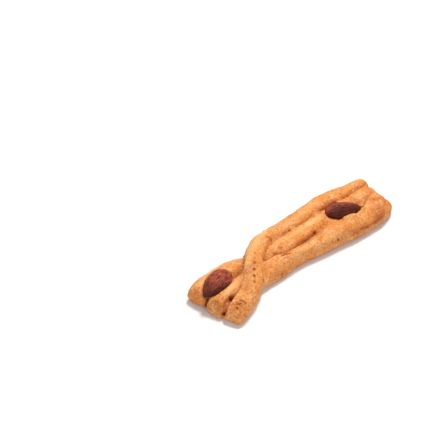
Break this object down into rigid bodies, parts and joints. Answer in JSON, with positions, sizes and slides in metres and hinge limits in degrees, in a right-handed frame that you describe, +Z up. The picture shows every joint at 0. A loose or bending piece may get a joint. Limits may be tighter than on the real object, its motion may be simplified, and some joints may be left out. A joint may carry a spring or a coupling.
{
  "type": "braided pepper almond biscuit",
  "caption": "Crisp savoury biscuit of braided dough ropes, crossed once near one end and pressed together at both, with whole almonds pushed into the ends.",
  "frame": {"origin": "middle of the biscuit's length and width, on the flat underside", "axes": "+X along the biscuit to the end further from the crossing, +Y to the side that the crossing rope comes from, +Z up"},
  "size_m": [0.1252, 0.0348, 0.0141],
  "materials": {
    "crust": "matt golden baked crust, fine grained, with specks of pepper and pale almond chips",
    "almond_skin": "satin red-brown roasted almond skin with furrows along it"
  },
  "bodies": {
    "root": {"braid": "crust", "almond_near": "almond_skin", "almond_far": "almond_skin"}
  },
  "joints": []
}
